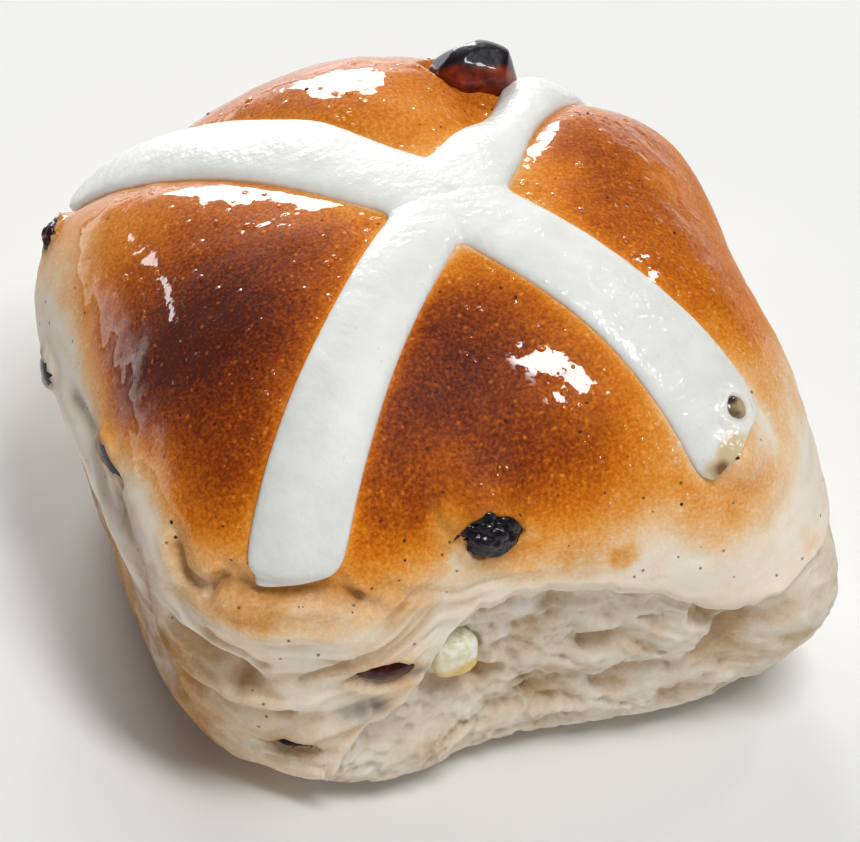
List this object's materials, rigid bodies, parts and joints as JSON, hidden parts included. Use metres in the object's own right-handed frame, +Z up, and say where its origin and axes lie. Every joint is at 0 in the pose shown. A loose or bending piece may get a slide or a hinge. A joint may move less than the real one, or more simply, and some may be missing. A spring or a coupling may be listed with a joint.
{
  "type": "hot cross bun",
  "caption": "Batch-baked hot cross bun with a glazed brown crust, a piped flour-paste cross, embedded raisins and candied peel, torn open on two sides.",
  "frame": {"origin": "on the flat base, in the middle of the bun's footprint box", "axes": "+Z up from the base; -Y towards the front side, torn from its neighbour; +X towards the right side, also torn; -X and +Y are the smooth sides"},
  "size_m": [0.087, 0.0854, 0.0574],
  "materials": {
    "baked_crust": "egg- and sugar-glazed baked crust, deep brown to golden, with matt cream crumb on the torn sides",
    "flour_paste": "baked flour paste, off-white, under thin sugar glaze",
    "raisin_skin": "wrinkled glossy dark raisin",
    "candied_peel": "moist, slightly clear candied citrus peel"
  },
  "bodies": {
    "root": {"bun": "baked_crust", "cross": "flour_paste", "raisin_crown": "raisin_skin", "raisin_front": "raisin_skin", "raisin_paste_end": "raisin_skin", "raisin_side": "raisin_skin", "raisin_low": "raisin_skin", "raisin_left_slit": "raisin_skin", "raisin_left_spot": "raisin_skin", "raisin_left_top": "raisin_skin", "raisin_right": "raisin_skin", "raisin_back": "raisin_skin", "peel_side": "candied_peel", "peel_right": "candied_peel"}
  },
  "joints": []
}
